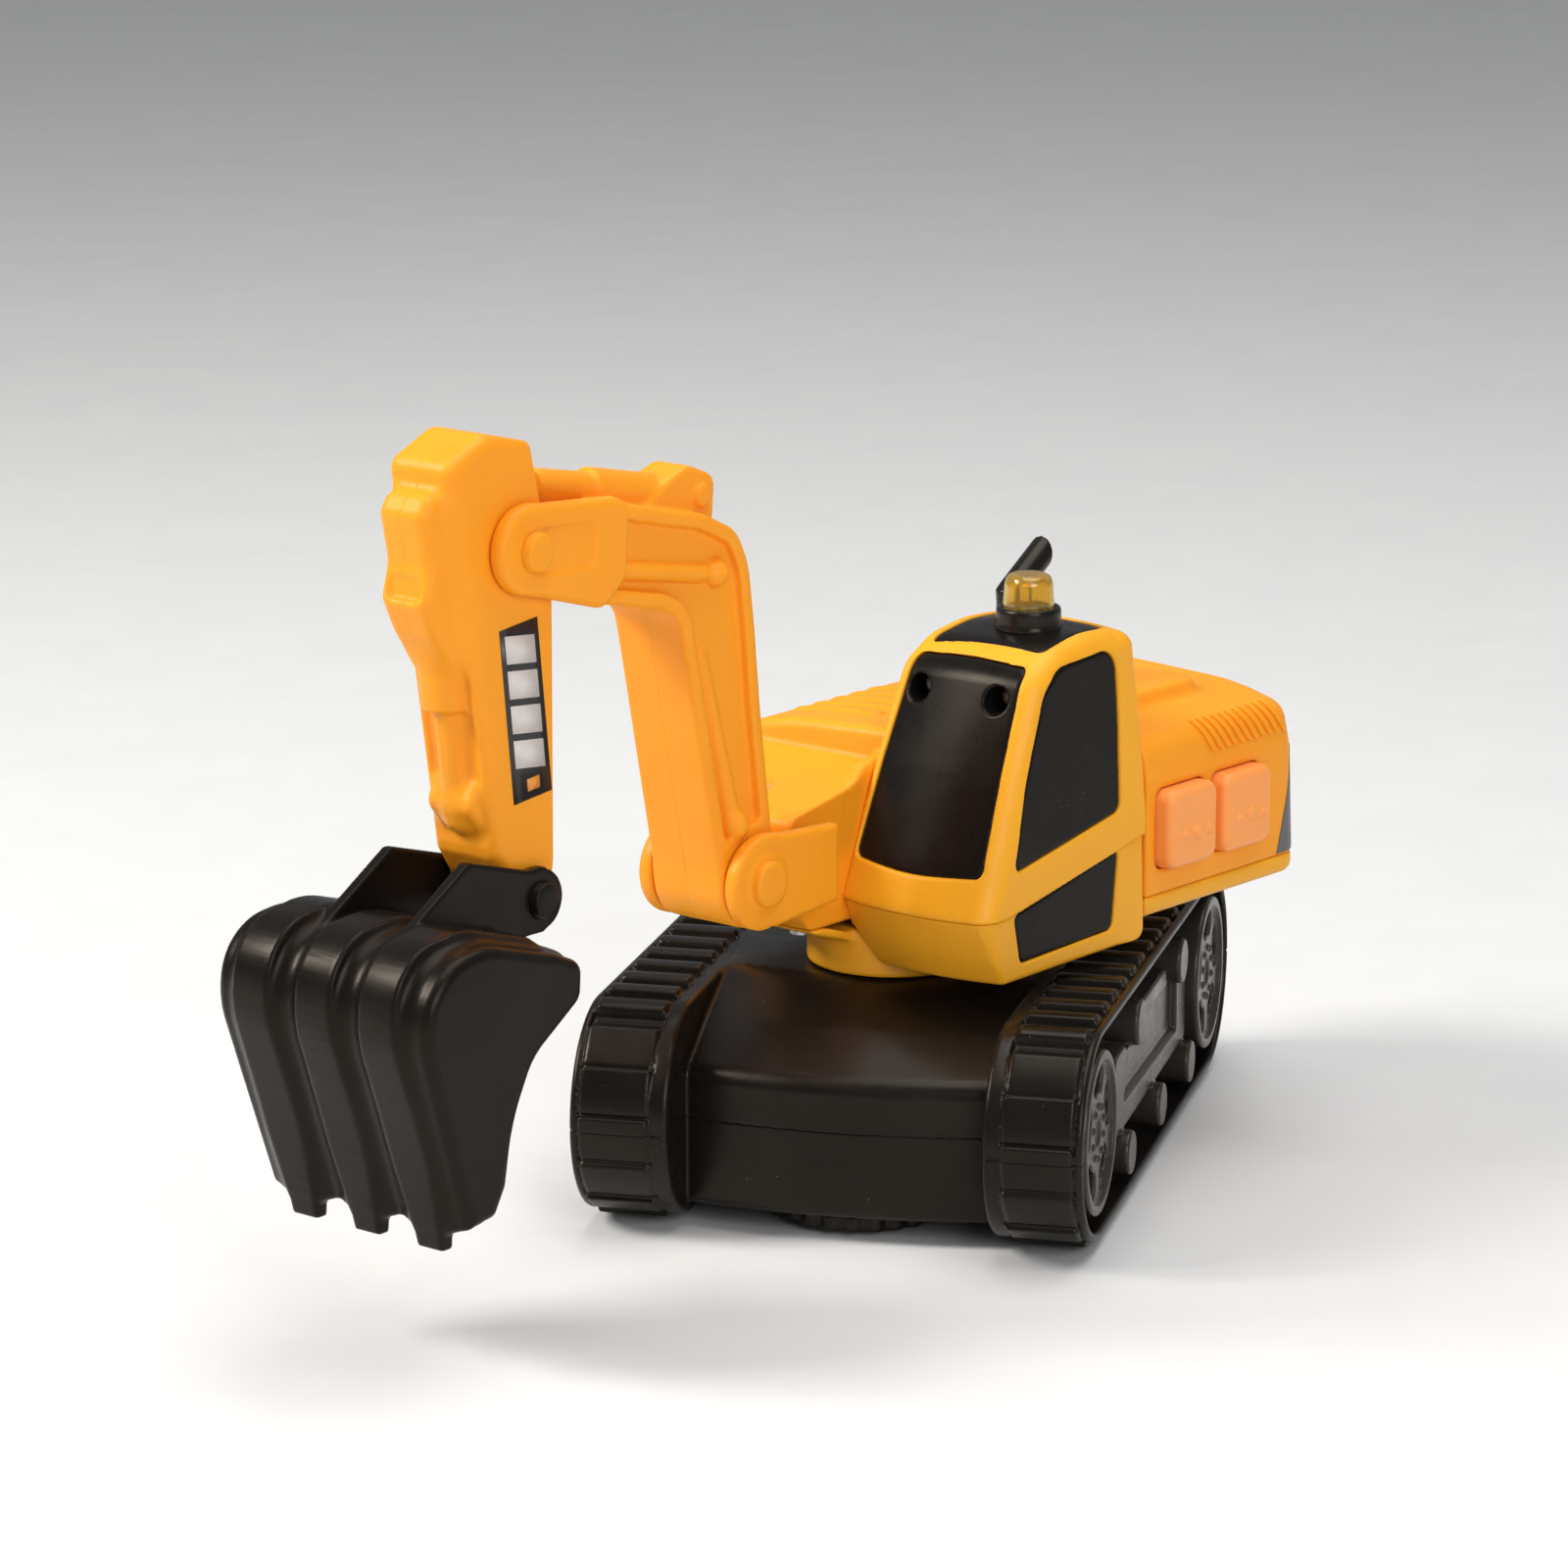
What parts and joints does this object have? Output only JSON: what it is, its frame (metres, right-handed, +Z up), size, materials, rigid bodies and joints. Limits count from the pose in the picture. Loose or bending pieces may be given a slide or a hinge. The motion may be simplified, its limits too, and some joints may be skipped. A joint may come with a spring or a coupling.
{
  "type": "toy_excavator",
  "caption": "Battery toy excavator with fixed moulded tracks, turning yellow-orange house, hinged digging arm, black bucket and a cab with lights",
  "frame": {"origin": "on the floor, on the swivel axis of the house", "axes": "+X forward along the boom at rest, +Y towards the cab side, +Z up; the undercarriage is turned 26 degrees about +Z"},
  "size_m": [0.3193, 0.1845, 0.191],
  "materials": {
    "black_plastic": "satin moulded black plastic",
    "black_gloss_plastic": "glossy moulded black plastic",
    "steel": "plain steel",
    "roller_plastic": "hard black plastic",
    "yellow_plastic": "glossy yellow plastic",
    "orange_plastic": "glossy orange-yellow plastic",
    "battery_jacket": "printed cell jacket, plain",
    "contact_brass": "plated contact strip",
    "board_green": "circuit board",
    "speaker_grey": "small loudspeaker",
    "button_plastic": "salmon plastic",
    "window_plastic": "glossy black plastic",
    "led_clear": "clear diode body",
    "amber_clear": "translucent amber plastic",
    "decal_grey": "printed foil",
    "bucket_plastic": "satin black plastic"
  },
  "bodies": {
    "undercarriage": {"chassis_upper": "black_plastic", "chassis_lower": "black_plastic", "side_panel_left": "black_gloss_plastic", "side_panel_right": "black_gloss_plastic", "chassis_screws": "steel"},
    "bogie": {"bogie_disc": "black_plastic", "bogie_cap": "black_plastic", "bogie_screws": "steel"},
    "bogie_wheels": {"bogie_axle": "steel", "bogie_rollers": "roller_plastic"},
    "rear_wheels": {"rear_axle": "steel", "rear_rollers": "roller_plastic"},
    "house": {"swivel_retainer": "yellow_plastic", "swivel_screws": "steel", "house_base": "orange_plastic", "house_shell": "orange_plastic", "house_screws": "steel", "battery_cover": "orange_plastic", "battery_cover_screw": "steel", "batteries": "battery_jacket", "battery_contacts": "contact_brass", "circuit_board": "board_green", "speaker": "speaker_grey", "button_switches": "board_green", "cab_screws": "steel", "cab_lower": "yellow_plastic", "cab_upper": "yellow_plastic", "windscreen": "window_plastic", "door_window_upper": "window_plastic", "door_window_lower": "window_plastic", "inner_window": "window_plastic", "roof_panel": "window_plastic", "cab_leds": "led_clear", "beacon_collar": "black_plastic", "beacon_led": "led_clear", "beacon_lens": "amber_clear", "exhaust_stack": "black_plastic", "boom_pin": "orange_plastic", "house_decals": "decal_grey"},
    "button_front_body": {"button_front": "button_plastic"},
    "button_rear_body": {"button_rear": "button_plastic"},
    "boom": {"boom_left": "orange_plastic", "boom_right": "orange_plastic", "boom_screws": "steel", "stick_pin": "orange_plastic"},
    "stick": {"stick_left": "orange_plastic", "stick_right": "orange_plastic", "stick_screws": "steel", "stick_decals": "decal_grey"},
    "bucket": {"bucket": "bucket_plastic", "bucket_pin": "bucket_plastic"}
  },
  "joints": [
    {"name": "house_swivel", "type": "hinge", "parent": "undercarriage", "child": "house", "pos_m": [0, 0, 0.05], "axis": [0, 0, 1], "continuous": true},
    {"name": "rear_wheel_roll", "type": "hinge", "parent": "undercarriage", "child": "rear_wheels", "pos_m": [-0.0755, -0.03682, 0.0085], "axis": [-0.4384, 0.8988, 0], "continuous": true},
    {"name": "bogie_swivel", "type": "hinge", "parent": "undercarriage", "child": "bogie", "pos_m": [0.02786, 0.01359, 0.004], "axis": [0, 0, 1], "continuous": true},
    {"name": "bogie_wheel_roll", "type": "hinge", "parent": "bogie", "child": "bogie_wheels", "pos_m": [0.02786, 0.01359, 0.007], "axis": [-0.4384, 0.8988, 0], "continuous": true},
    {"name": "boom_lift", "type": "hinge", "parent": "house", "child": "boom", "pos_m": [0.061, 0, 0.082], "axis": [0, -1, 0], "range_deg": [-12, 30]},
    {"name": "stick_swing", "type": "hinge", "parent": "boom", "child": "stick", "pos_m": [0.1335, 0, 0.166], "axis": [0, -1, 0], "range_deg": [-12, 30]},
    {"name": "bucket_curl", "type": "hinge", "parent": "stick", "child": "bucket", "pos_m": [0.1315, 0, 0.092], "axis": [0, -1, 0], "range_deg": [-26, 50]},
    {"name": "button_front_press", "type": "slide", "parent": "house", "child": "button_front_body", "axis": [0, -1, 0], "range_m": [0, 0.0015], "stiffness_N_per_m": 600},
    {"name": "button_rear_press", "type": "slide", "parent": "house", "child": "button_rear_body", "axis": [0, -1, 0], "range_m": [0, 0.0015], "stiffness_N_per_m": 600}
  ]
}
